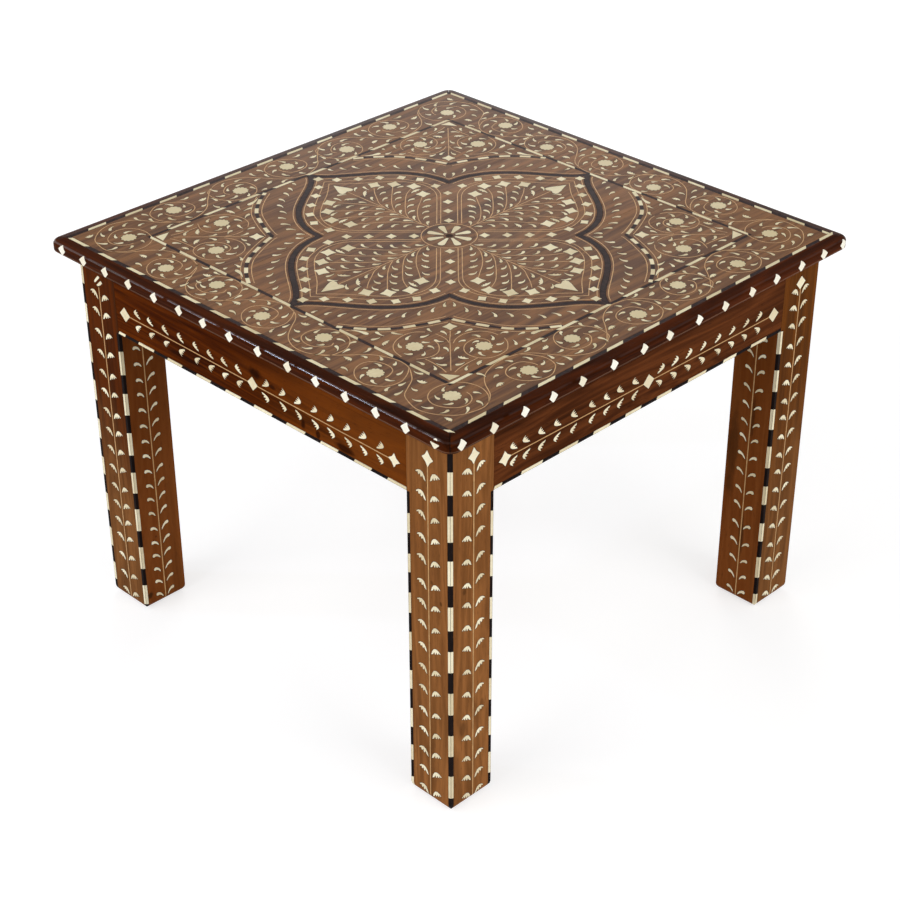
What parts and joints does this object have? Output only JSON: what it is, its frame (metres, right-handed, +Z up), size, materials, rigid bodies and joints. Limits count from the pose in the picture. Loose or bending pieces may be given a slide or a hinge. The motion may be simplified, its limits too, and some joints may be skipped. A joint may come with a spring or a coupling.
{
  "type": "inlaid kursi table stool",
  "caption": "Low square four-legged kursi table of dark hardwood, with aprons, a moulded edge and bone and ebony inlay on the top, aprons and legs.",
  "frame": {"origin": "on the floor, under the middle of the square top", "axes": "+Z up; -Y is the front left side of the picture, +X its front right side"},
  "size_m": [0.604, 0.604, 0.46],
  "materials": {
    "top_wood": "waxed mid brown rosewood boards, worn satin",
    "edge_wood": "dark red brown moulding, polished",
    "apron_wood": "dark red brown rosewood, polished",
    "leg_wood": "orange brown rosewood, waxed satin",
    "banding": "ebony banding that carries pieces of bone",
    "bone": "aged cream bone inlay, satin",
    "stringing": "fine golden wooden stringing",
    "mastic": "dark mastic in the joints round the inlay",
    "plain_wood": "raw softwood, unfinished",
    "steel": "plain steel wood screws"
  },
  "bodies": {
    "root": {"apron_back_left": "apron_wood", "apron_back_left_strip": "banding", "apron_back_right": "apron_wood", "apron_back_right_strip": "banding", "apron_front_left": "apron_wood", "apron_front_left_strip": "banding", "apron_front_right": "apron_wood", "apron_front_right_strip": "banding", "centre_medallion": "top_wood", "edge_moulding_back_left": "edge_wood", "edge_moulding_back_right": "edge_wood", "edge_moulding_front_left": "edge_wood", "edge_moulding_front_right": "edge_wood", "glue_block_back_left": "plain_wood", "glue_block_back_middle": "plain_wood", "glue_block_back_right": "plain_wood", "glue_block_front_left": "plain_wood", "glue_block_front_middle": "plain_wood", "glue_block_front_right": "plain_wood", "leg_back": "leg_wood", "leg_back_corner_strip": "banding", "leg_back_strip_by_back_left_apron": "banding", "leg_back_strip_by_back_right_apron": "banding", "leg_front": "leg_wood", "leg_front_corner_strip": "banding", "leg_front_strip_by_front_left_apron": "banding", "leg_front_strip_by_front_right_apron": "banding", "leg_left": "leg_wood", "leg_left_corner_strip": "banding", "leg_left_strip_by_back_left_apron": "banding", "leg_left_strip_by_front_left_apron": "banding", "leg_right": "leg_wood", "leg_right_strip_by_back_right_apron": "banding", "leg_right_strip_by_front_right_apron": "banding", "ogee_band_back_left": "banding", "ogee_band_back_right": "banding", "ogee_band_front_left": "banding", "ogee_band_front_right": "banding", "top_board_left": "top_wood", "top_board_middle": "top_wood", "top_board_right": "top_wood", "top_inner_band_back_left": "banding", "top_inner_band_back_right": "banding", "top_inner_band_front_left": "banding", "top_inner_band_front_right": "banding", "top_outer_band_back_left": "banding", "top_outer_band_back_right": "banding", "top_outer_band_front_left": "banding", "top_outer_band_front_right": "banding", "top_screw_back_left": "steel", "top_screw_back_middle": "steel", "top_screw_back_right": "steel", "top_screw_front_left": "steel", "top_screw_front_middle": "steel", "top_screw_front_right": "steel"}
  },
  "joints": []
}
